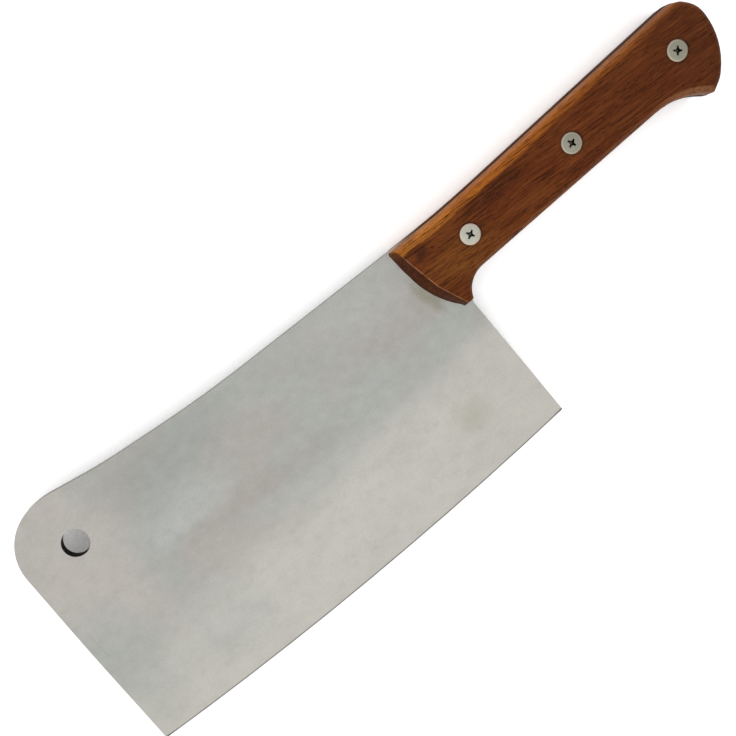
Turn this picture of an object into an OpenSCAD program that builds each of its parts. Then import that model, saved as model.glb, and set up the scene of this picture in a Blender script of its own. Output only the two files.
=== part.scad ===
// Chinese cleaver with a full tang, two wooden scales and three cross-head handle screws.
// Drawing axes: x = 0 at the handle's front end with +x to the butt, y = 0 on the straight
// spine with +y away from the edge, z = 0 in the middle of the steel.
// The finished part is moved so that it lies on its rear scale, centred over the origin.

/* [Blade] */
// From the handle's front end to the front edge, along the spine line
blade_l = 169.4; // [130:1:220]
// Thickness of the steel at the spine and in the tang
spine_t = 4.5; // [2.5:0.1:6]
// From the spine line down to the toe
toe_depth = 90.5; // [70:0.5:110]
// From the spine line down to the heel
heel_depth = 84.1; // [66:0.5:100]
// How far the cutting edge bows out between toe and heel
edge_bow = 3.1; // [1:0.1:8]
// Lean of the front edge: the toe reaches further forward than the nose, in degrees
front_lean = 1.5; // [0:0.1:5]
// Lean of the heel edge, in degrees
heel_lean = 3.2; // [0:0.1:6]
// Where the heel edge meets the spine line, behind the handle's front end
heel_x = 11.1; // [8:0.1:14]

/* [Nose] */
// Radius of the nose corner
nose_r = 19.7; // [6:0.1:24]
// Height of the nose corner over the spine line, before it is rounded
nose_rise = 5.2; // [2:0.1:8]
// Height of the crest behind the nose over the spine line, before it is rounded
crest_rise = 7; // [4:0.1:10]
// Radius of the crest
crest_r = 31; // [15:1:60]
// From the front edge back to the crest
crest_back = 21.9; // [18:0.1:30]
// From the crest back to the middle of the sweep's upper bend
bend_back = 23; // [15:0.5:30]
// Height of that bend over the spine line
bend_rise = 3.3; // [2.5:0.1:3.6]
// From the crest back to the middle of the sweep's lower bend, on the straight spine
sweep_back = 65; // [50:0.5:70]

/* [Grind] */
// Width of the grind, from the cutting edge up to the middle of its soft shoulder
grind_w = 44; // [30:1:60]
// Width of the soft shoulder, where the grind blends into the flat of the blade
shoulder_w = 24; // [4:1:40]
// Thickness behind the cutting bevel
edge_t = 0.8; // [0.4:0.1:1.6]
// Height of the cutting bevel
bevel_h = 1.1; // [0.6:0.1:3]

/* [Hanging hole] */
// Diameter of the hanging hole
hole_d = 10; // [5:0.5:14]
// From the front edge to the hole's centre
hole_back = 21; // [16:0.5:30]
// From the spine line down to the hole's centre
hole_drop = 12.7; // [6:0.1:20]

/* [Handle] */
// From the handle's front end to the butt
handle_l = 133.4; // [110:0.5:165]
// Thickness of each wooden scale
scale_t = 8.5; // [6.5:0.1:12]
// Height of the butt's upper corner over the spine line
butt_rise = 8.5; // [2:0.1:14]
// From the spine line down to the tip of the hook
hook_drop = 25.4; // [23:0.1:30]
// From the spine line down to the belly, where it leaves the notch
belly_drop = 23.5; // [21:0.1:25]
// From the butt to where the belly turns into the hook
flare_back = 22; // [20:0.1:30]
// How far the steel stands proud of the wood all round
tang_proud = 0.1; // [0.1:0.05:0.6]
// How far the scales lean in between the steel and their rounded upper edge
scale_lean = 0.35; // [0:0.05:0.8]
// Width of the rounded upper edge of the scales
round_w = 1.95; // [0.8:0.05:2.2]
// Turn of the rounded edge before it meets the flat face, in degrees
round_turn = 60; // [45:1:80]
// Radius of the notch behind the heel
notch_r = 10.3; // [6:0.1:12]
// From the spine line down to the pointed front end of the scales
tip_drop = 31.3; // [30:0.1:36]

/* [Fasteners] */
// From the handle's front end to the front screw
front_screw_x = 24.8; // [18:0.1:32]
// From the butt to the butt screw
butt_screw_back = 15.9; // [14:0.1:22]
// Diameter of the screw and nut heads
head_d = 7.6; // [7:0.1:10]
// Thickness of the heads at their rim
head_h = 1.5; // [1:0.1:2.2]
// Rise of the heads' low dome
dome_h = 0.35; // [0.1:0.05:0.5]
// Diameter of the screw's shank at its thread
shank_d = 4; // [3:0.1:4.4]
// Outer diameter of the nut's barrel
barrel_d = 6; // [5.4:0.1:6.4]
// How far the barrel reaches into the front scale
barrel_reach = 3; // [1:0.1:4]
// Length of the thread held in the barrel
thread_l = 8; // [5:0.5:10]
// Clearance round the heads, and between their dome and the wood's face
head_gap = 0.1; // [0.05:0.01:0.3]
// Clearance round the barrels
barrel_gap = 0.1; // [0.05:0.01:0.3]
// Clearance between the shank and its thread
thread_gap = 0.05; // [0.02:0.01:0.1]
// Length of an arm of the cross recess, from the middle
cross_arm = 1.7; // [1.4:0.1:2]
// Width of an arm of the cross recess at its end
cross_w = 0.76; // [0.5:0.02:0.8]
// Width of the middle of the cross recess, between two arms
cross_core = 1.6; // [1.2:0.1:1.7]
// Depth of the cross recess
cross_h = 1.3; // [0.8:0.1:1.5]
// Width of the slot in the nuts
slot_w = 1; // [0.6:0.1:1.4]
// Depth of the slot in the nuts
slot_h = 0.7; // [0.4:0.1:1]

/* [Hidden] */
$fn = 64;

steel = [0.70, 0.70, 0.66];
wood = [0.40, 0.20, 0.10];
nickel = [0.74, 0.73, 0.70];

half_t = spine_t / 2;
through = 1;                    // how far a cut runs past the face it opens
disc_fn = 1440;                 // facets of the large disc that the edge is cut from
point_r = 0.6;                  // radius of the scales' small corners
least_r = 0.4;                  // least radius left on a corner that has moved in
round_steps = 6;                // layers in the rounded upper edge
hook_r = 0.8;
flare_r = 31;
flare_drop = 17.9;
notch_x = 15.8;
notch_lean = 18.8;              // slant of the edge from the notch to the heel edge, in degrees

// Directions and lines in the plane of the blade
function unit(v) = v / norm(v);
function cross2(a, b) = a.x * b.y - a.y * b.x;
function right_of(v) = [v.y, -v.x];
function meet(p, u, q, v) = p + u * cross2(q - p, v) / cross2(u, v);
function swing(a) = a > 180 ? a - 360 : a < -180 ? a + 360 : a;

// Points of an arc of radius r in n steps that rounds the corner b between a and c
function corner_arc(a, b, c, r, n) =
    let (
        u = unit(a - b),
        w = unit(c - b),
        half = acos(u * w) / 2,
        mid = b + unit(u + w) * r / sin(half),
        p = b + u * r / tan(half) - mid,
        q = b + w * r / tan(half) - mid,
        from = atan2(p.y, p.x),
        turn = swing(atan2(q.y, q.x) - from)
    )
    [for (k = [0 : n]) mid + r * [cos(from + turn * k / n), sin(from + turn * k / n)]];

// Corner i of a closed list, counted on past either end
function wrap(list, i) = list[(i + len(list)) % len(list)];

// How far from each corner its arc begins
function reaches(at, r) = [
    for (i = [0 : len(at) - 1])
        let (u = unit(wrap(at, i - 1) - at[i]), w = unit(wrap(at, i + 1) - at[i]))
            r[i] / tan(acos(u * w) / 2)
];

// The radii, less where the arcs at both ends of an edge would not fit on it
function limited(at, r) =
    let (
        reach = reaches(at, r),
        room = [
            for (i = [0 : len(at) - 1])
                let (need = reach[i] + wrap(reach, i + 1))
                    need > 0 ? min(1, 0.98 * norm(wrap(at, i + 1) - at[i]) / need) : 1
        ]
    )
    [for (i = [0 : len(at) - 1]) r[i] * min(room[i], wrap(room, i - 1))];

// Closed outline through corners [x, y], each with its radius and number of steps
function rounded(at, radii, n) =
    let (r = limited(at, radii))
    [
        for (i = [0 : len(at) - 1])
            each r[i] == 0 ? [at[i]] : corner_arc(wrap(at, i - 1), at[i], wrap(at, i + 1), r[i], n[i])
    ];

// Steel outline
front_dir = [-sin(front_lean), -cos(front_lean)];
heel_dir = [sin(heel_lean), -cos(heel_lean)];
front_at = [-blade_l, 0];
heel_at = [heel_x, 0];
toe = front_at + front_dir * toe_depth / cos(front_lean);
heel = heel_at + heel_dir * heel_depth / cos(heel_lean);
below_edge = 12;                // how far the raw outline runs on below the toe and heel
nose_at = front_at - front_dir * nose_rise / cos(front_lean);
crest_at = [crest_back - blade_l, crest_rise];
bend_at = [crest_at.x + bend_back, bend_rise];
sweep_at = [crest_at.x + sweep_back, 0];
bend_r = 186;
sweep_r = 471;

// Handle corners, clockwise from the spine to the notch
notch_at = [notch_x, -belly_drop];
notch_dir = [-sin(notch_lean), -cos(notch_lean)];
handle_at = [
    [20.9, 0],
    [handle_l - 6, butt_rise],
    [handle_l - 0.4, butt_rise - 5.5],
    [handle_l + 0.9, -12.5],
    [handle_l - 7.8, 2.8 - hook_drop],
    [handle_l - 12.4, -hook_drop],
    [handle_l - flare_back, -flare_drop],
    notch_at
];
handle_r = [417, 5.4, 11.1, 27, 11.7, hook_r, flare_r, notch_r];
handle_n = [4, 6, 8, 8, 6, 3, 8, 12];
tang_end = meet(notch_at, notch_dir, heel_at, heel_dir);

steel_at = concat(
    [bend_at, sweep_at], handle_at,
    [tang_end, heel + heel_dir * below_edge, toe + front_dir * below_edge, nose_at, crest_at]
);
steel_r = concat([bend_r, sweep_r], handle_r, [point_r, 0, 0, nose_r, crest_r]);
steel_n = concat([6, 8], handle_n, [2, 0, 0, 20, 10]);
steel_outline = rounded(steel_at, steel_r, steel_n);

// The cutting edge is an arc from the toe to the heel
edge_chord = norm(heel - toe);
edge_r = edge_chord * edge_chord / (8 * edge_bow) + edge_bow / 2;
edge_mid = (toe + heel) / 2 - right_of(unit(heel - toe)) * (edge_r - edge_bow);

// Half profile of the grind's shoulder, from the grind up to the flat, as [radius, height]
shoulder_steps = 6;
function shoulder() =
    let (
        corner = [edge_r - grind_w, half_t],
        slope = unit([edge_r - bevel_h, edge_t / 2] - corner),
        from = corner + slope * shoulder_w / 2,
        to = corner - [shoulder_w / 2, 0]
    )
    [
        for (k = [0 : shoulder_steps])
            let (t = k / shoulder_steps)
                from * (1 - t) * (1 - t) + corner * 2 * t * (1 - t) + to * t * t
    ];

// Scale outline at height h over the steel
round_r = round_w / (1 - cos(round_turn));
round_h = round_r * sin(round_turn);
function side_in(h) =
    let (up = max(h - scale_t + round_h, 0), base = scale_t - round_h)
        tang_proud + scale_lean * min(h / base, 1) + round_r - sqrt(round_r * round_r - up * up);
function round_at(k) = scale_t - round_h + round_r * sin(round_turn * k / round_steps);
heights = concat(
    [-through],
    [for (k = [0 : round_steps - 1]) round_at(k)],
    [round_at(round_steps + 0.5)]
);

// The slanted front end runs from one bent line on the steel to another on the flat face
front_low = [[-1.2, 0.5], [1.4, -21.9], [11.2, -33]];
front_high = [[0.7, 0.5], [5.5, -18.7], [12, -33]];
front_low_r = 42;
front_high_r = 7;
tip_slant = 2;
function front_line(k, h) = front_low[k] + (front_high[k] - front_low[k]) * h / scale_t;
function side_start(k) = k == 0 ? [0, 0] : handle_at[k - 1];
function side_end(k) = k == len(handle_at) ? tang_end : handle_at[k];

// Edges of the scale, clockwise: each is a point and a direction
function scale_edges(h) = concat(
    [[front_line(1, h), unit(front_line(0, h) - front_line(1, h))]],
    [for (k = [0 : len(handle_at)])
        let (u = unit(side_end(k) - side_start(k)))
            [side_start(k) + right_of(u) * side_in(h), u]],
    [[[0, tip_slant * h / scale_t - tip_drop], [-1, 0]],
     [front_line(2, h), unit(front_line(1, h) - front_line(2, h))]]
);
scale_r = concat([1.1], handle_r, [point_r, point_r]);
scale_n = concat([3], handle_n, [2, 2, 8]);
function corner_r(r, turn, h) = turn < 0 ? max(r - side_in(h), least_r) : r + side_in(h);
function layer(h) =
    let (
        edge = scale_edges(h),
        n = len(edge),
        before = [for (i = [0 : n - 1]) wrap(edge, i - 1)],
        at = [for (i = [0 : n - 1])
            meet(before[i][0], before[i][1], edge[i][0], edge[i][1])],
        order = [for (i = [1 : n]) wrap(at, i)],
        front_r = front_low_r + (front_high_r - front_low_r) * h / scale_t,
        r = [for (i = [0 : n - 1])
            i == 0 ? front_r : corner_r(scale_r[i - 1], cross2(before[i][1], edge[i][1]), h)],
        r_order = [for (i = [1 : n]) wrap(r, i)]
    )
    [for (p = rounded(order, r_order, scale_n)) [p.x, p.y, h]];

// Screws: three places along the handle, following its slight rise to the butt
front_screw_at = [front_screw_x, -11.3];
butt_screw_at = [handle_l - butt_screw_back, -5.4];
middle_screw_at = (front_screw_at + butt_screw_at) / 2 + [-0.6, 0.3];
screw_places = [front_screw_at, middle_screw_at, butt_screw_at];
cross_turns = [32, 26, 55];
slot_turns = [15, 70, 130];
head_seat = scale_t - head_gap - dome_h - head_h;
grip_l = head_seat - barrel_reach;
barrel_l = head_seat + spine_t + barrel_reach;
shank_l = grip_l + thread_l;
socket_l = thread_l + 1.5;
tip_l = 0.6;
dome_r = (head_d * head_d / 4 + dome_h * dome_h) / (2 * dome_h);

// Cylinders that round the corners between the arms of the cross recess
cross_diagonal = cross_core / 2;
cross_at = (pow(cross_arm, 2) + pow(cross_w / 2, 2) - pow(cross_diagonal, 2))
    / (2 * cross_arm + cross_w - 2 * sqrt(2) * cross_diagonal);
cross_r = cross_at * sqrt(2) - cross_diagonal;
cross_taper = 0.6;              // width of the recess at its floor, against that at its mouth

// Where the finished part lies
low_x = toe.x;
high_x = max([for (p = steel_outline) p.x]);
low_y = edge_mid.y - edge_r;
high_y = max([for (p = steel_outline) p.y]);

module place() {
    translate([-(low_x + high_x) / 2, -(low_y + high_y) / 2, half_t + scale_t]) children();
}

// Disc with the grind and the cutting bevel on its rim
module grind_disc() {
    upper = concat([[edge_r - bevel_h, edge_t / 2]], shoulder(), [[0, half_t]]);
    lower = [for (i = [len(upper) - 1 : -1 : 0]) [upper[i].x, -upper[i].y]];
    translate([edge_mid.x, edge_mid.y, 0])
        rotate_extrude($fn = disc_fn)
            polygon(concat(lower, [[edge_r, 0]], upper));
}

module blade() {
    color(steel)
        place()
            difference() {
                intersection() {
                    translate([0, 0, -half_t]) linear_extrude(spine_t) polygon(steel_outline);
                    grind_disc();
                }
                translate([hole_back - blade_l, -hole_drop, -half_t - through])
                    cylinder(h = spine_t + 2 * through, d = hole_d);
                for (at = screw_places)
                    translate([at.x, at.y, -half_t - through])
                        cylinder(h = spine_t + 2 * through, d = barrel_d + 2 * barrel_gap);
            }
}

// Blank of a scale, its inner face on z = 0: the layers run on past both faces and are cut there
module scale_blank() {
    rings = [for (h = heights) layer(h)];
    n = len(rings[0]);
    m = len(rings);
    intersection() {
        polyhedron(
            points = [for (ring = rings) each ring],
            faces = concat(
                [[for (i = [0 : n - 1]) n - 1 - i]],
                [[for (i = [0 : n - 1]) (m - 1) * n + i]],
                [for (k = [0 : m - 2]) for (i = [0 : n - 1])
                    [k * n + i, k * n + (i + 1) % n, (k + 1) * n + (i + 1) % n, (k + 1) * n + i]]
            )
        );
        translate([-handle_l / 2, -handle_l / 2, 0]) cube([2 * handle_l, handle_l, scale_t]);
    }
}

// Recess for a head, open at the flat face
module head_recess() {
    translate([0, 0, head_seat])
        cylinder(h = scale_t - head_seat + through, d = head_d + 2 * head_gap);
}

module front_scale() {
    color(wood)
        place()
            translate([0, 0, half_t])
                difference() {
                    scale_blank();
                    for (at = screw_places)
                        translate([at.x, at.y, 0]) {
                            head_recess();
                            translate([0, 0, -through])
                                cylinder(h = scale_t, d = shank_d + 2 * barrel_gap);
                            translate([0, 0, -through])
                                cylinder(
                                    h = barrel_reach + barrel_gap + through,
                                    d = barrel_d + 2 * barrel_gap
                                );
                        }
                }
}

module rear_scale() {
    color(wood)
        place()
            mirror([0, 0, 1])
                translate([0, 0, half_t])
                    difference() {
                        scale_blank();
                        for (at = screw_places)
                            translate([at.x, at.y, 0]) {
                                head_recess();
                                translate([0, 0, -through])
                                    cylinder(h = scale_t, d = barrel_d + 2 * barrel_gap);
                            }
                    }
}

// Low domed head, its seat on z = 0
module head() {
    intersection() {
        cylinder(h = head_h + dome_h, d = head_d);
        translate([0, 0, head_h + dome_h - dome_r]) sphere(r = dome_r, $fn = 128);
    }
}

// Cross recess: a cone that narrows as it goes down, less a cylinder between each two arms
module cross_recess() {
    reach = cross_arm * (1 + (1 - cross_taper) * through / cross_h);
    translate([0, 0, head_h + dome_h - cross_h])
        difference() {
            cylinder(h = cross_h + through, r1 = cross_arm * cross_taper, r2 = reach);
            for (turn = [45 : 90 : 315])
                rotate([0, 0, turn])
                    translate([cross_at * sqrt(2), 0, -through])
                        cylinder(h = cross_h + 3 * through, r = cross_r);
        }
}

// Screw from the front face: k is its place along the handle
module screw(k) {
    color(nickel)
        place()
            translate([screw_places[k].x, screw_places[k].y, half_t + head_seat])
                difference() {
                    union() {
                        head();
                        translate([0, 0, tip_l - shank_l]) cylinder(h = shank_l - tip_l, d = shank_d);
                        translate([0, 0, -shank_l])
                            cylinder(h = tip_l, d1 = shank_d - tip_l, d2 = shank_d);
                    }
                    rotate([0, 0, cross_turns[k]]) cross_recess();
                }
}

// Barrel nut from the rear face, with its threaded socket towards the screw
module barrel_nut(k) {
    color(nickel)
        place()
            translate([screw_places[k].x, screw_places[k].y, -half_t - head_seat])
                mirror([0, 0, 1])
                    difference() {
                        union() {
                            head();
                            translate([0, 0, -barrel_l]) cylinder(h = barrel_l, d = barrel_d);
                        }
                        translate([0, 0, -barrel_l - through])
                            cylinder(h = socket_l + through, d = shank_d + 2 * thread_gap);
                        rotate([0, 0, slot_turns[k]])
                            translate([-head_d, -slot_w / 2, head_h + dome_h - slot_h])
                                cube([2 * head_d, slot_w, slot_h + through]);
                    }
}

module front_screw() {
    screw(0);
}
module middle_screw() {
    screw(1);
}
module butt_screw() {
    screw(2);
}
module front_barrel_nut() {
    barrel_nut(0);
}
module middle_barrel_nut() {
    barrel_nut(1);
}
module butt_barrel_nut() {
    barrel_nut(2);
}

blade();
front_scale();
rear_scale();
front_screw();
middle_screw();
butt_screw();
front_barrel_nut();
middle_barrel_nut();
butt_barrel_nut();
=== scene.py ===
import math

import bmesh
import bpy
from mathutils import Matrix, Vector


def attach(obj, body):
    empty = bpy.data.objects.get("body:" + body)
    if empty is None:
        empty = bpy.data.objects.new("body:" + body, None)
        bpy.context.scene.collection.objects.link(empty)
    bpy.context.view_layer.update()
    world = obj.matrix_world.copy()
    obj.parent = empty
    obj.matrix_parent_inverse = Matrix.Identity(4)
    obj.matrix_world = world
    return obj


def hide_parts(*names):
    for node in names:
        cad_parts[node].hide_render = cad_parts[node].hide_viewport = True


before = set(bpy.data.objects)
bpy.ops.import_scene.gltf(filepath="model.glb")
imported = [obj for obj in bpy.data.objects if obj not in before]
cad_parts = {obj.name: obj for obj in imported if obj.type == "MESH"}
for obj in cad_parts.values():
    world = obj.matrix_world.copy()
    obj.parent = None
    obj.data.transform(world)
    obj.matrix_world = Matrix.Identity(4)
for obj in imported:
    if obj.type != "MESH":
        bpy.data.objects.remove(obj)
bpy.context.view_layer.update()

MM = 0.001

# Places on the cleaver, in millimetres of the shared frame
STEEL_MIDDLE = 10.75        # height of the middle of the plate
HOLE = (-129.24, 28.76)
SCREWS = ((43.96, 30.16), (89.71, 33.41), (136.66, 36.06))
HEAD_TOP = 21.38            # outermost point of the screws' domes
NUT_TOP = 0.11              # outermost point of the barrel nuts' domes, in the rear face
ARC_CENTRE = (-107.21, 1372.11)
ARC_RADIUS = 1421.88        # of the cutting edge
GRIP_CREASE = (56.8, 40.1)  # a point on the crease along the handle's spine side
GRIP_SLOPE = 4.56           # of that crease, in degrees
GRAIN_SLOPE = -1.5          # of the wood's grain, in degrees

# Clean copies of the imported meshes
WELD = 0.002                # points this close become one, in millimetres
FLAT = 0.05                 # faces closer in direction than this become one, in degrees
SMOOTH_METAL = 50           # an edge shows as sharp past this angle, in degrees
SMOOTH_WOOD = 40
LARGE_FACES_FIRST = 100     # how far the flat areas rule the shading of their roundings

# Rounding that the cleaver's edges have, in millimetres
STEEL_EASE = 0.15
RIDGE_EASE = 0.3            # the scales' outer edges
BORE_EASE = 0.1             # the mouths of the scales' screw recesses
HEAD_EASE = 0.15
EASE_STEPS = 2

# Which edges are rounded: those past an angle, in degrees, at a place, in millimetres
STEEL_CORNER = 50
SCALE_CORNER = 24
HEAD_CORNER = 60
SHARP_ZONE = 0.45           # half thickness under which the steel keeps its sharp corners
TANG_HOLES = 3.6            # the steel's corners this near a screw's axis aren't seen
BORE_MOUTH = 4              # a scale's corners this near a screw's axis are its recess's
OUTER_FACE = 0.05           # a scale's corners are rounded this near its outer face
HEAD_LEVEL = 21             # the screws are rounded above this height
NUT_LEVEL = 0.5             # and the barrel nuts below this one

# Where the photograph was taken from, in millimetres and degrees
AIM = (-11.35, 13.93, 13.0)
CAMERA_DISTANCE = 360
CAMERA_TILT = 11.2          # to the spine side
CAMERA_SWING = 0.68         # to the butt side
CAMERA_ROLL = 38.09
LENS = 50.31
SENSOR = 36

# Floor and the wall that it rises into, in metres
FLOOR_RADIUS = 3.5
FLOOR_SIDES = 96
COVE = (                    # each step out and up from the floor's rim
    (0.38, 0.08),
    (0.71, 0.29),
    (0.92, 0.62),
    (1.0, 1.0),
    (1.0, 2.6),
)
FLOOR_GLOW = 0.6            # brings the bare floor up to white, for the camera and in gloss
SHADOW_REACH = 0.04         # the glow is off where something covers the floor this near
SHADOW_SAMPLES = 4
OPEN_SKY = (0.32, 0.5)      # how open the floor is where the glow starts and where it is full

# Light: each lamp's name, place and size in metres, and power in watts
WORLD_STRENGTH = 0.7
LAMPS = (
    ("overhead", (-0.2, -0.35, 1.1), (1.4, 1.1), 2),
    ("spine_side", (-0.2, 0.9, 0.8), (0.9, 0.6), 1.8),
)
LIT_POINT = (0, 0, 0.01)


# Colours

def rgb(*values):
    """The linear colour that shows as these 0 to 255 values."""
    return tuple(
        v / 255 / 12.92 if v < 10.3 else ((v / 255 + 0.055) / 1.055) ** 2.4 for v in values
    ) + (1,)


def palette(**colours):
    """A finish's colours, by name."""
    return {name: rgb(*values) for name, values in colours.items()}


def grey(value):
    """A plain value in the form of a colour."""
    return (value, value, value, 1)


STEEL = palette(
    plate=(177, 179, 174),
    warm_haze=(180, 175, 169),
    # painted shade along the grind's shoulder
    shoulder_streak=(170, 165, 158),
    nose=(192, 187, 181),
    ground=(200, 197, 189),
    dull_cloud=(160, 163, 156),
    dark_mottle=(140, 138, 128),
    pale_mottle=(210, 207, 200),
    fine_grain=(130, 130, 124),
    heel_bloom=(164, 160, 136),
    stain=(140, 136, 116),
    stain_specks=(84, 76, 58),
    stray_specks=(110, 106, 96),
    scratch=(96, 94, 88),
    plate_edge=(128, 127, 120),
    # painted shade on the hole's wall
    hole_wall=(24, 23, 22),
    tang=(33, 27, 23),
    tang_haze=(60, 52, 45),
    bevel=(96, 96, 92),
)

WOOD = palette(
    heart=(111, 55, 25),
    pale_band=(121, 64, 29),
    ruddy=(98, 44, 20),
    mottle=(76, 38, 20),
    middle=(82, 43, 23),
    butt=(72, 37, 24),
    under_crease=(80, 36, 17),
    dark_spot=(60, 32, 28),
    # painted highlight with wear at the hook
    belly=(148, 98, 64),
    # wear with a painted highlight, on the spine side
    rubbed=(184, 106, 38),
    # wear with a painted highlight on the flanks that face the spine side
    flank=(196, 112, 34),
    rubbed_front=(208, 132, 56),
    rubbed_grain=(140, 76, 27),
    # painted shade on the front end
    front_end=(76, 36, 19),
    dark_band=(72, 32, 15),
    light_band=(140, 80, 34),
    threads=(156, 94, 44),
    lines=(50, 22, 9),
    pores=(44, 21, 11),
    # painted shade round the screw recesses
    recess_rim=(54, 28, 16),
    worn_edge=(176, 124, 88),
    # painted contact shadow on the wood next to the steel
    tang_seam=(40, 24, 16),
)

NICKEL = palette(
    plating=(200, 200, 186),
    duller_plating=(158, 156, 140),
    cloud=(176, 170, 152),
    fine_grain=(140, 138, 124),
    # painted highlight with wear on the heads' rims
    rim=(222, 203, 184),
    # painted shade in the recesses and slots
    recess=(24, 22, 18),
    # painted highlight at the centre of each recess
    recess_centre=(84, 78, 66),
)

# Soft clouds: centre and size in millimetres, turn in degrees, strength and colour
PLATE_CLOUDS = (
    ((-92, 13), (28, 10), 5, 0.7, (186, 189, 187)),
    ((-86, 33), (38, 16), 0, 0.6, (160, 163, 160)),
    ((2, 36), (40, 18), 0, 0.4, (190, 194, 190)),
)
GROUND_CLOUDS = (
    ((-143, -18), (22, 36), 0, 0.65, (174, 178, 172)),
    ((-106, -30), (30, 16), 0, 0.4, (180, 184, 180)),
)
PALE_WOOD_CLOUDS = (
    ((38, 26), (19, 12), 0, 0.6, (138, 84, 36)),
    # painted highlight along the edge of the hook's flare
    ((142, 15), (24, 8), -20, 0.35, (124, 70, 34)),
)
DARK_WOOD_CLOUDS = (
    ((59, 36.5), (16, 5), 0, 0.35, (66, 35, 24)),
)

# Places on the steel's finish, in millimetres. A pair is where a mask starts and where it is
# full, and a spot has its centre, its size and its turn in degrees.
GRIND_SLOPE = 0.09          # how far the grind's shoulder climbs in each millimetre to the butt
GRIND = (5, -16)
NOSE_X, NOSE_Y = (-106, -126), (-22, 2)
TANG_X, TANG_Y = (19, 33), (8.6, 9.8)
TANG_FACING = (0.97, 0.85)  # how squarely the dark tang may face up, from 0 to 1
PLATE_EDGE_FACING = (0.6, 0.25)
# painted shade on the hole's wall reaches this far
HOLE_WALL = (6.2, 5.6)      # from the hole's axis
BEVEL = (ARC_RADIUS - 0.65, ARC_RADIUS - 0.35)
STAIN = ((20.3, 20.5), (3.4, 12), 15)
HEEL_BLOOM = ((7.5, -23), (10, 9))

# Places on the wood's finish
# painted shade round the screw recesses reaches this far
RECESS_RIM = (5.0, 3.9)     # from the screws' axes
RUBBED_FROM = 38.4          # the band of wear and painted highlight lies on the spine side of this
DARK_SPOT = ((26.6, 35.6), (4.2, 3.0), 40)
TANG_SEAM = (2.8, 2.3)      # from the middle of the steel

# Places on the fasteners' finish
DULLER = (52, 80)           # from the front fastener, the brightest, to the others
# painted highlight with wear on the heads' rims
HEAD_RIM = (2.9, 3.4)       # from the screws' axes
RECESS_FLOOR = (2.4, 2.0)   # how deep under the domes the painted shade goes


# Meshes

def loose_copy(node):
    """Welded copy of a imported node's mesh, with flat areas joined to single faces."""
    bm = bmesh.new()
    bm.from_mesh(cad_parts[node].data)
    bmesh.ops.remove_doubles(bm, verts=bm.verts, dist=WELD * MM)
    bmesh.ops.dissolve_limit(
        bm, angle_limit=math.radians(FLAT), verts=bm.verts, edges=bm.edges,
        use_dissolve_boundaries=False
    )
    bm.faces.layers.float.new("worn")
    return bm


def creases(bm, degrees):
    """Edges whose two faces meet at more than that angle."""
    return [
        e for e in bm.edges
        if len(e.link_faces) == 2 and e.calc_face_angle(0) > math.radians(degrees)
    ]


def ease(bm, edges, width):
    """Rounds edges over, and marks the new faces as worn."""
    made = bmesh.ops.bevel(
        bm, geom=edges, offset=width * MM, offset_type="OFFSET", affect="EDGES",
        segments=EASE_STEPS, profile=0.5, material=-1, clamp_overlap=False, loop_slide=True
    )
    worn = bm.faces.layers.float["worn"]
    for face in made["faces"]:
        face[worn] = 1


def near_screw(edge, reach):
    """True for an edge within that many millimetres of a screw's axis."""
    middle = (edge.verts[0].co + edge.verts[1].co).xy / (2 * MM)
    return any((middle - Vector(screw)).length < reach for screw in SCREWS)


def off_middle(vert):
    """How far a point is from the middle of the steel, in millimetres."""
    return abs(vert.co.z / MM - STEEL_MIDDLE)


def piece(name, bm, material, node, smooth=SMOOTH_METAL):
    """Object for a finished bmesh, standing for a CAD node, which it hides, and riding on the root
    body.
    """
    mesh = bpy.data.meshes.new(name)
    bm.to_mesh(mesh)
    bm.free()
    mesh.shade_smooth()
    mesh.set_sharp_from_angle(angle=math.radians(smooth))
    mesh.materials.append(material)
    made = bpy.data.objects.new(name, mesh)
    bpy.context.scene.collection.objects.link(made)
    weighted = made.modifiers.new("even_flats", "WEIGHTED_NORMAL")
    weighted.keep_sharp = True
    weighted.weight = LARGE_FACES_FIRST
    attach(made, "root")
    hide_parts(node)


def build_blade(material):
    """The plate, with all its corners rounded in one go but for the cutting edge."""
    bm = loose_copy("blade")
    edges = [
        edge for edge in creases(bm, STEEL_CORNER)
        if max(off_middle(v) for v in edge.verts) > SHARP_ZONE
        and not near_screw(edge, TANG_HOLES)
    ]
    ease(bm, edges, STEEL_EASE)
    piece("blade_steel", bm, material, "blade")


def build_scale(node, material):
    """A wooden scale, rounded round its outer face and at its screw recesses."""
    bm = loose_copy(node)
    outer = max(off_middle(v) for v in bm.verts)
    bores, ridges = [], []
    for edge in creases(bm, SCALE_CORNER):
        if min(off_middle(v) for v in edge.verts) > outer - OUTER_FACE:
            (bores if near_screw(edge, BORE_MOUTH) else ridges).append(edge)
    ease(bm, bores, BORE_EASE)
    ease(bm, ridges, RIDGE_EASE)
    piece(node + "_wood", bm, material, node, SMOOTH_WOOD)


def build_fastener(node, material):
    """A screw or barrel nut, rounded where its head shows."""
    bm = loose_copy(node)
    edges = [
        e for e in creases(bm, HEAD_CORNER)
        if any(v.co.z / MM > HEAD_LEVEL or v.co.z / MM < NUT_LEVEL for v in e.verts)
    ]
    ease(bm, edges, HEAD_EASE)
    piece(node + "_metal", bm, material, node)


# Finishes

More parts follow.
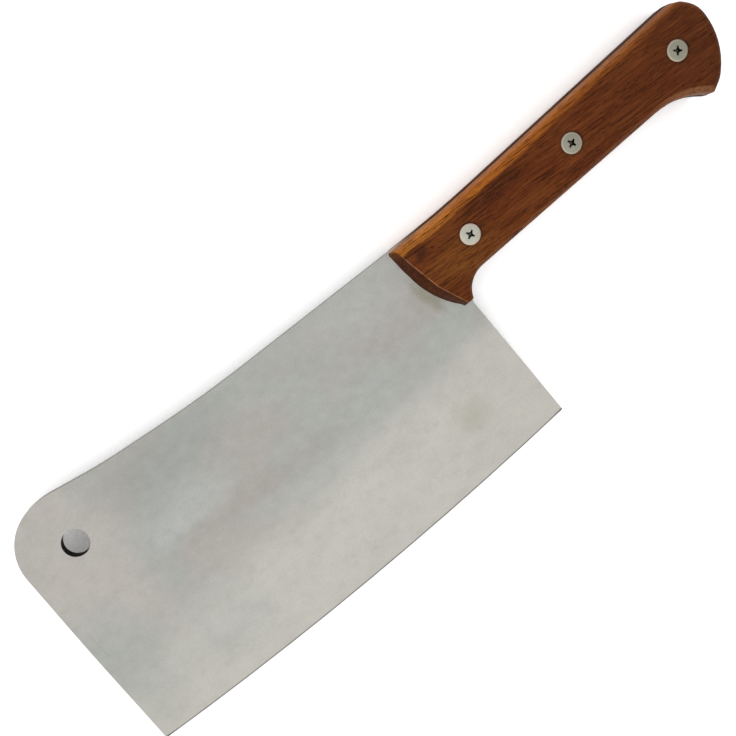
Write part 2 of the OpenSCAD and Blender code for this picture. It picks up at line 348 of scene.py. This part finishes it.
class Finish:
    """A material in the making, with short calls for the nodes that the finishes share.

    Lengths are in millimetres, and a mask is a number from 0 to 1.
    """

    def __init__(self, name):
        self.material = bpy.data.materials.new(name)
        self.material.use_nodes = True
        self.tree = self.material.node_tree
        self.shader = self.tree.nodes["Principled BSDF"]

    def node(self, kind):
        return self.tree.nodes.new("ShaderNode" + kind)

    def feed(self, value, socket):
        """Links a node's result to a socket, or sets the socket to a plain value."""
        if isinstance(value, bpy.types.NodeSocket):
            self.tree.links.new(value, socket)
        elif value is not None:
            socket.default_value = value

    def place(self, size=(1, 1, 1), turn=0, centre=(0, 0, 0), source=None):
        """Coordinates about a centre, turned in the blade's plane, with size as their unit."""
        if source is None:
            source = self.node("TexCoord").outputs["Object"]
        node = self.node("Mapping")
        node.vector_type = "TEXTURE"
        node.inputs["Location"].default_value = [c * MM for c in centre]
        node.inputs["Rotation"].default_value[2] = math.radians(turn)
        node.inputs["Scale"].default_value = [s * MM for s in size]
        self.feed(source, node.inputs["Vector"])
        return node.outputs["Vector"]

    def axes(self, vector):
        """The three numbers of a vector."""
        node = self.node("SeparateXYZ")
        self.feed(vector, node.inputs[0])
        return node.outputs

    def facing(self):
        """The three parts of the surface's direction in the object's own axes."""
        return self.axes(self.node("TexCoord").outputs["Normal"])

    def maths(self, operation, a, b=None):
        node = self.node("Math")
        node.operation = operation
        self.feed(a, node.inputs[0])
        self.feed(b, node.inputs[1])
        return node.outputs[0]

    def sums(self, operation, a, b=None, scale=None):
        """As maths, on vectors."""
        node = self.node("VectorMath")
        node.operation = operation
        self.feed(a, node.inputs[0])
        self.feed(b, node.inputs[1])
        if scale is not None:
            self.feed(scale, node.inputs["Scale"])
        return node.outputs["Value" if operation == "LENGTH" else "Vector"]

    def times(self, *masks):
        result = masks[0]
        for mask in masks[1:]:
            result = self.maths("MULTIPLY", result, mask)
        return result

    def ramp(self, value, low, high, low_out=0.0, high_out=1.0):
        """Soft step between two values, in either order."""
        node = self.node("MapRange")
        node.interpolation_type = "SMOOTHSTEP"
        self.feed(value, node.inputs["Value"])
        limits = {"From Min": low, "From Max": high, "To Min": low_out, "To Max": high_out}
        for socket, number in limits.items():
            node.inputs[socket].default_value = number
        return node.outputs["Result"]

    def between(self, value, low, high, soft):
        """Mask of the values between two others."""
        return self.times(
            self.ramp(value, low - soft, low + soft), self.ramp(value, high + soft, high - soft)
        )

    def noise(self, size, detail=2, roughness=0.5, distortion=0, turn=0, source=None):
        """Cloudy noise whose clouds are about that long, wide and thick."""
        node = self.node("TexNoise")
        self.feed(self.place(size, turn, source=source), node.inputs["Vector"])
        node.inputs["Scale"].default_value = 1
        node.inputs["Detail"].default_value = detail
        node.inputs["Roughness"].default_value = roughness
        node.inputs["Distortion"].default_value = distortion
        return node.outputs["Fac"]

    def stirred(self, size, amount):
        """Object coordinates that waver by up to that amount."""
        noise = self.node("TexNoise")
        noise.inputs["Scale"].default_value = 1
        noise.inputs["Detail"].default_value = 2
        self.feed(self.place(size), noise.inputs["Vector"])
        centred = self.sums("SUBTRACT", noise.outputs["Color"], (0.5, 0.5, 0.5))
        pushed = self.sums("SCALE", centred, scale=2 * amount * MM)
        return self.sums("ADD", self.node("TexCoord").outputs["Object"], pushed)

    def specks(self, spacing, size):
        """Mask of small round specks, at most one to each cell of that spacing."""
        node = self.node("TexVoronoi")
        self.feed(self.place((spacing, spacing, spacing)), node.inputs["Vector"])
        node.inputs["Scale"].default_value = 1
        return self.ramp(node.outputs["Distance"], size / spacing, size / spacing * 0.5)

    def spot(self, centre, size, turn=0, source=None):
        """Mask that falls softly from 1 at the centre to 0 at size, through all thicknesses."""
        node = self.node("TexGradient")
        node.gradient_type = "SPHERICAL"
        self.feed(self.place((*size, 1000), turn, (*centre, 0), source), node.inputs["Vector"])
        return self.ramp(node.outputs["Fac"], 0, 0.8)

    def clouds(self, table, source):
        """A coat for each cloud in a table."""
        return [
            (self.times(self.spot(centre, size, turn, source), strength), rgb(*colour))
            for centre, size, turn, strength, colour in table
        ]

    def radius(self, centre):
        """Distance from an axis through the thickness."""
        flat = self.sums("MULTIPLY", self.place(centre=(*centre, 0)), (1, 1, 0))
        return self.sums("LENGTH", flat)

    def nearest_screw(self):
        """Distance from the nearest screw's axis."""
        result = self.radius(SCREWS[0])
        for screw in SCREWS[1:]:
            result = self.maths("MINIMUM", result, self.radius(screw))
        return result

    def worn(self):
        """Mask of the faces that ease has made."""
        node = self.node("Attribute")
        node.attribute_name = "worn"
        return node.outputs["Fac"]

    def coats(self, colour, *coats):
        """Colour with further colours laid over it, each through its own mask."""
        for mask, over in coats:
            node = self.node("Mix")
            node.data_type = "RGBA"
            self.feed(mask, node.inputs["Factor"])
            for socket, value in (("A", colour), ("B", over)):
                self.feed(value, next(i for i in node.inputs if i.identifier == socket + "_Color"))
            colour = next(o for o in node.outputs if o.identifier == "Result_Color")
        return colour

    def bump(self, height, depth, under=None):
        """Relief of that depth, over another relief if there is one."""
        node = self.node("Bump")
        node.inputs["Strength"].default_value = 1
        node.inputs["Distance"].default_value = depth * MM
        self.feed(height, node.inputs["Height"])
        self.feed(under, node.inputs["Normal"])
        return node.outputs["Normal"]

    def finish(self, **sockets):
        """Feeds the shader's sockets, named with _ for each space."""
        for name, value in sockets.items():
            self.feed(value, self.shader.inputs[name.replace("_", " ")])
        return self.material


def satin_steel():
    """Satin plate with soft clouds, a paler ground part, a stain and a dark tang, and painted
    shade along the grind's shoulder and on the hole's wall.
    """
    f = Finish("satin_steel")
    x, y, _ = f.axes(f.place(source=f.stirred((45, 25, 40), 7)))
    hard_x, hard_y, _ = f.axes(f.place())
    flatness = f.maths("ABSOLUTE", f.facing()[2])
    swirl = f.stirred((14, 14, 14), 4)

    hue = f.noise((34, 26, 34), 3)
    cloud = f.noise((15, 11, 15), 3)
    patch = f.noise((4.5, 3.6, 4.5), 3, 0.6)
    grain = f.noise((0.8, 0.8, 0.8), 2, 0.6)
    lines = f.noise((0.35, 60, 60), 3, 0.6, turn=2)

    ground = f.ramp(f.maths("SUBTRACT", y, f.times(x, GRIND_SLOPE)), *GRIND)
    nose = f.times(f.ramp(x, *NOSE_X), f.ramp(y, *NOSE_Y))
    # painted shade: a darker streak along the grind's shoulder
    shoulder = f.times(f.between(y, -1, 7, 4), f.between(x, -104, -34, 14))
    side = f.ramp(flatness, *PLATE_EDGE_FACING)
    tang = f.times(
        f.ramp(hard_x, *TANG_X), f.ramp(hard_y, *TANG_Y), f.ramp(flatness, *TANG_FACING)
    )
    bevel = f.ramp(f.radius(ARC_CENTRE), *BEVEL)
    stain = f.spot(*STAIN, f.stirred((5, 5, 5), 1.5))
    heel_bloom = f.spot(*HEEL_BLOOM, 0, f.stirred((6, 6, 6), 2))
    wavering = f.maths("ADD", hard_x, f.times(f.noise((9, 9, 9)), 0.9))
    scratch = f.times(f.between(wavering, -147.05, -146.9, 0.14), f.between(y, -12, 1, 3))

    colour = f.coats(
        STEEL["plate"],
        (f.ramp(hue, 0.42, 0.60, 0, 0.8), STEEL["warm_haze"]),
        *f.clouds(PLATE_CLOUDS, swirl),
        (f.times(shoulder, 0.5), STEEL["shoulder_streak"]),
        (f.times(nose, 0.9), STEEL["nose"]),
        (f.times(ground, 0.95), STEEL["ground"]),
        *f.clouds(GROUND_CLOUDS, swirl),
        (f.ramp(cloud, 0.35, 0.70, 0, 0.14), STEEL["dull_cloud"]),
        (f.ramp(patch, 0.5, 0.74, 0, 0.07), STEEL["dark_mottle"]),
        (f.ramp(patch, 0.5, 0.26, 0, 0.07), STEEL["pale_mottle"]),
        (f.ramp(grain, 0.3, 0.7, 0, 0.10), STEEL["fine_grain"]),
        (f.times(heel_bloom, 0.26), STEEL["heel_bloom"]),
        (f.times(stain, f.ramp(cloud, 0.1, 0.4), 0.6), STEEL["stain"]),
        (f.times(stain, f.specks(1.1, 0.24), 0.7), STEEL["stain_specks"]),
        (f.times(f.specks(9, 0.25), 0.5), STEEL["stray_specks"]),
        (f.times(scratch, 0.3), STEEL["scratch"]),
        (f.times(side, 0.8), STEEL["plate_edge"]),
        # painted shade on the hole's wall
        (f.times(side, f.ramp(f.radius(HOLE), *HOLE_WALL)), STEEL["hole_wall"]),
        (tang, STEEL["tang"]),
        (f.times(tang, f.ramp(cloud, 0.4, 0.65, 0, 0.6)), STEEL["tang_haze"]),
        (f.times(bevel, 0.8), STEEL["bevel"]),
    )
    rough = f.coats(
        grey(0.40),
        (f.ramp(patch, 0.3, 0.7), grey(0.46)),
        (f.times(side, 0.8), grey(0.7)),
        (tang, grey(0.9)),
    )
    return f.finish(
        Base_Color=colour, Metallic=f.ramp(tang, 0, 1, 1, 0), Roughness=rough,
        Specular_IOR_Level=0.1, Normal=f.bump(grain, 0.003, f.bump(lines, 0.003))
    )


def handle_wood():
    """Reddish-brown wood with fine grain, orange along the spine side from wear and a painted
    highlight, with a painted highlight and wear at the hook and painted shade on the front end,
    round the screw recesses and next to the steel.
    """
    f = Finish("handle_wood")
    wavy = f.stirred((26, 12, 20), 1.0)
    ragged = f.stirred((9, 4, 6), 0.9)
    x, y, _ = f.axes(f.place(source=ragged))
    crease = f.place(turn=GRIP_SLOPE, centre=(*GRIP_CREASE, 0), source=ragged)
    over_crease = f.axes(crease)[1]
    to_butt, to_spine, _ = f.facing()
    hard_z = f.axes(f.place())[2]
    off_steel = f.maths("ABSOLUTE", f.maths("SUBTRACT", hard_z, STEEL_MIDDLE))

    def figure(size, detail=2, roughness=0.5, distortion=0):
        """Noise that is drawn out along the grain."""
        return f.noise(size, detail, roughness, distortion, GRAIN_SLOPE, wavy)

    broad = figure((50, 6, 10), distortion=0.2)
    ruddy = figure((24, 4, 6))
    mottle = figure((9, 3, 5), 3, 0.6)
    band = figure((34, 1.1, 2.2), roughness=0.6)
    line = figure((17, 0.38, 0.8), roughness=0.55)
    thread = figure((8, 0.24, 0.5), 1)
    pore = figure((2.6, 0.2, 0.4), 1)

    spine_side = f.ramp(to_spine, 0.05, 0.5)
    belly_side = f.ramp(to_spine, -0.12, -0.42)
    front_face = f.ramp(to_butt, -0.15, -0.4)
    flank = f.ramp(to_spine, 0.72, 0.95)
    over_edge = f.maths(
        "MINIMUM", f.maths("SUBTRACT", y, RUBBED_FROM),
        f.maths("ADD", over_crease, f.ramp(x, 50, 80, 0.05, 0.3))
    )
    top_band = f.times(f.ramp(over_edge, -0.6, 0.6), f.ramp(x, 115, 70))
    # wear with a painted highlight: the orange band on the rounding that faces the light
    rubbed = f.times(
        f.maths("MAXIMUM", spine_side, top_band), f.ramp(broad, 0.75, 0.5, 0.6, 1)
    )
    under_crease = f.times(
        f.between(over_crease, -4.6, -1.2, 1.0), f.ramp(mottle, 0.3, 0.5, 0.4, 1),
        f.ramp(x, 40, 52), f.ramp(x, 112, 60)
    )
    # painted highlight with wear on the belly-side rounding near the hook's tip
    hook = f.times(belly_side, f.ramp(x, 116, 133, 0.35, 0.9), f.ramp(to_butt, 0.3, 0))
    worn_front = f.times(
        f.worn(), f.ramp(x, 34, 30), f.ramp(to_butt, -0.08, -0.25),
        f.ramp(mottle, 0.7, 0.4, 0.25, 0.75)
    )
    lines = f.times(
        f.ramp(line, 0.54, 0.61), f.ramp(mottle, 0.3, 0.55, 0.5, 1), f.ramp(flank, 0, 1, 1, 0.4)
    )
    pores = f.times(f.ramp(pore, 0.55, 0.66), f.ramp(band, 0.35, 0.6, 0.3, 1))
    dark_spot = f.spot(*DARK_SPOT, f.stirred((3, 3, 3), 0.6))

    colour = f.coats(
        WOOD["heart"],
        (f.ramp(broad, 0.38, 0.62), WOOD["pale_band"]),
        (f.ramp(ruddy, 0.42, 0.66, 0, 0.55), WOOD["ruddy"]),
        *f.clouds(PALE_WOOD_CLOUDS, ragged),
        (f.ramp(mottle, 0.45, 0.72, 0, 0.22), WOOD["mottle"]),
        (f.times(f.ramp(x, 70, 110), 0.3), WOOD["middle"]),
        (f.times(f.ramp(x, 120, 150), 0.4), WOOD["butt"]),
        (f.times(under_crease, 0.7), WOOD["under_crease"]),
        *f.clouds(DARK_WOOD_CLOUDS, ragged),
        (f.times(dark_spot, 0.75), WOOD["dark_spot"]),
        # painted highlight with wear at the hook
        (hook, WOOD["belly"]),
        # wear with a painted highlight along the spine side
        (f.times(rubbed, f.ramp(x, 55, 110, 1, 0.5), f.ramp(x, 112, 140, 1, 0.25)),
         WOOD["rubbed"]),
        # wear with a painted highlight on the flanks facing the spine side, weaker on the rear
        # scale
        (f.times(flank, f.ramp(x, 55, 150, 0.75, 0.4), f.ramp(hard_z, 8, 12, 0.3, 1)),
         WOOD["flank"]),
        (f.times(rubbed, f.ramp(x, 50, 38), 0.6), WOOD["rubbed_front"]),
        (f.times(rubbed, f.ramp(line, 0.46, 0.60, 0, 0.5)), WOOD["rubbed_grain"]),
        # painted shade on the front end, which faces away from the light
        (f.times(front_face, f.ramp(x, 60, 40), 0.85), WOOD["front_end"]),
        (f.ramp(band, 0.48, 0.64, 0, 0.2), WOOD["dark_band"]),
        (f.ramp(band, 0.46, 0.32, 0, 0.2), WOOD["light_band"]),
        (f.ramp(thread, 0.56, 0.70, 0, 0.3), WOOD["threads"]),
        (f.times(lines, f.ramp(x, 50, 120, 0.78, 0.5)), WOOD["lines"]),
        (f.times(pores, 0.75), WOOD["pores"]),
        # painted shade round the screw recesses
        (f.times(f.ramp(f.nearest_screw(), *RECESS_RIM), 0.35), WOOD["recess_rim"]),
        (worn_front, WOOD["worn_edge"]),
        # painted contact shadow on the wood next to the steel
        (f.times(f.ramp(off_steel, *TANG_SEAM), 0.5), WOOD["tang_seam"]),
    )
    return f.finish(
        Base_Color=colour, Roughness=f.ramp(mottle, 0.3, 0.7, 0.46, 0.60),
        Specular_IOR_Level=0.05, Normal=f.bump(pores, -0.05, f.bump(line, -0.04))
    )


def dull_nickel():
    """Dull plating, darker toward the butt, with a painted highlight and wear on each head's rim,
    painted shade in the recesses and slots, and a painted highlight at their centres.
    """
    f = Finish("dull_nickel")
    x, _, z = f.axes(f.place())
    cloud = f.noise((2.4, 2.4, 2.4), 3, 0.6)
    grain = f.noise((0.3, 0.3, 0.3), 2, 0.6)
    depth = f.maths(
        "MINIMUM", f.maths("SUBTRACT", HEAD_TOP, z), f.maths("SUBTRACT", z, NUT_TOP)
    )
    reach = f.nearest_screw()
    # painted shade in the recesses and the cross's slots
    recess = f.ramp(depth, *RECESS_FLOOR)
    # painted highlight with wear round the rim of each head
    rim = f.times(f.ramp(reach, *HEAD_RIM), f.ramp(x, *DULLER, 0.9, 0.5))
    cross = f.times(f.ramp(depth, 0.12, 0.24), f.ramp(reach, 2.4, 2.1), recess)
    # painted highlight at the centre of each recess
    centre = f.times(f.ramp(depth, 0.6, 0.9), f.ramp(reach, 0.75, 0.3), recess)
    colour = f.coats(
        NICKEL["plating"],
        # darker toward the butt
        (f.ramp(x, *DULLER), NICKEL["duller_plating"]),
        (f.ramp(cloud, 0.35, 0.7, 0, 0.3), NICKEL["cloud"]),
        (f.ramp(grain, 0.4, 0.75, 0, 0.2), NICKEL["fine_grain"]),
        # painted highlight with wear on the rims
        (rim, NICKEL["rim"]),
        # painted shade in the recesses and slots
        (f.times(f.ramp(depth, 0.55, 0.85), recess), NICKEL["recess"]),
        (cross, NICKEL["recess"]),
        # painted highlight at the centre of each recess
        (centre, NICKEL["recess_centre"]),
    )
    return f.finish(
        Base_Color=colour, Metallic=1.0, Roughness=f.ramp(grain, 0.3, 0.7, 0.40, 0.52),
        Normal=f.bump(grain, 0.006)
    )


def white_floor():
    """White floor that glows for the camera and in gloss, except close to the cleaver."""
    f = Finish("white_floor")
    f.finish(Base_Color=grey(0.88), Roughness=0.9)
    path = f.node("LightPath").outputs
    seen = f.maths("MAXIMUM", path["Is Camera Ray"], path["Is Glossy Ray"])
    seen = f.maths("MAXIMUM", seen, path["Is Transmission Ray"])
    open_sky = f.node("AmbientOcclusion")
    open_sky.samples = SHADOW_SAMPLES
    open_sky.inputs["Distance"].default_value = SHADOW_REACH
    bare = f.ramp(open_sky.outputs["AO"], *OPEN_SKY, 0, FLOOR_GLOW)
    glow = f.node("Emission")
    f.feed(f.times(seen, bare), glow.inputs["Strength"])
    both = f.node("AddShader")
    f.feed(f.shader.outputs[0], both.inputs[0])
    f.feed(glow.outputs[0], both.inputs[1])
    f.feed(both.outputs[0], f.tree.nodes["Material Output"].inputs["Surface"])
    return f.material


# The cleaver

steel = satin_steel()
wood = handle_wood()
nickel = dull_nickel()
build_blade(steel)
for side in ("front", "rear"):
    build_scale(side + "_scale", wood)
for place in ("front", "middle", "butt"):
    build_fastener(place + "_screw", nickel)
    build_fastener(place + "_barrel_nut", nickel)


# Camera, floor and light

def make_camera():
    data = bpy.data.cameras.new("camera")
    data.lens = LENS
    data.sensor_width = SENSOR
    data.clip_start = 10 * MM
    made = bpy.data.objects.new("camera", data)
    turn = (
        Matrix.Rotation(math.radians(CAMERA_SWING), 4, "Y")
        @ Matrix.Rotation(math.radians(-CAMERA_TILT), 4, "X")
        @ Matrix.Rotation(math.radians(-CAMERA_ROLL), 4, "Z")
    )
    back = turn @ Vector((0, 0, 1))
    made.matrix_world = Matrix.Translation((Vector(AIM) + back * CAMERA_DISTANCE) * MM) @ turn
    bpy.context.scene.collection.objects.link(made)
    bpy.context.scene.camera = made


def make_floor():
    """A round floor that rises into a wall far away, like the cove of a studio."""
    bm = bmesh.new()
    bmesh.ops.create_circle(bm, segments=FLOOR_SIDES, radius=FLOOR_RADIUS, cap_ends=True)
    rim = [e for e in bm.edges if e.is_boundary]
    for out, up in COVE:
        made = bmesh.ops.extrude_edge_only(bm, edges=rim)["geom"]
        verts = [g for g in made if isinstance(g, bmesh.types.BMVert)]
        rim = [g for g in made if isinstance(g, bmesh.types.BMEdge)]
        wider = (FLOOR_RADIUS + out) / verts[0].co.xy.length
        bmesh.ops.scale(bm, verts=verts, vec=(wider, wider, 1))
        bmesh.ops.translate(bm, verts=verts, vec=(0, 0, up - verts[0].co.z))
    bmesh.ops.recalc_face_normals(bm, faces=bm.faces)
    bm.faces.ensure_lookup_table()
    if bm.faces[0].normal.z < 0:
        bmesh.ops.reverse_faces(bm, faces=bm.faces)
    mesh = bpy.data.meshes.new("floor")
    bm.to_mesh(mesh)
    bm.free()
    mesh.shade_smooth()
    mesh.materials.append(white_floor())
    floor = bpy.data.objects.new("floor", mesh)
    bpy.context.scene.collection.objects.link(floor)


def make_lamp(name, place, size, power):
    """A rectangular lamp that points at the cleaver."""
    data = bpy.data.lights.new(name, "AREA")
    data.shape = "RECTANGLE"
    data.size, data.size_y = size
    data.energy = power
    lamp = bpy.data.objects.new(name, data)
    lamp.location = place
    lamp.rotation_mode = "QUATERNION"
    lamp.rotation_quaternion = (Vector(LIT_POINT) - Vector(place)).to_track_quat("-Z", "Y")
    bpy.context.scene.collection.objects.link(lamp)


def make_light():
    world = bpy.data.worlds.new("studio")
    bpy.context.scene.world = world
    world.use_nodes = True
    sky = world.node_tree.nodes["Background"]
    sky.inputs["Color"].default_value = (1, 1, 1, 1)
    sky.inputs["Strength"].default_value = WORLD_STRENGTH
    for lamp in LAMPS:
        make_lamp(*lamp)
    bpy.context.scene.view_settings.view_transform = "Standard"


make_camera()
make_floor()
make_light()
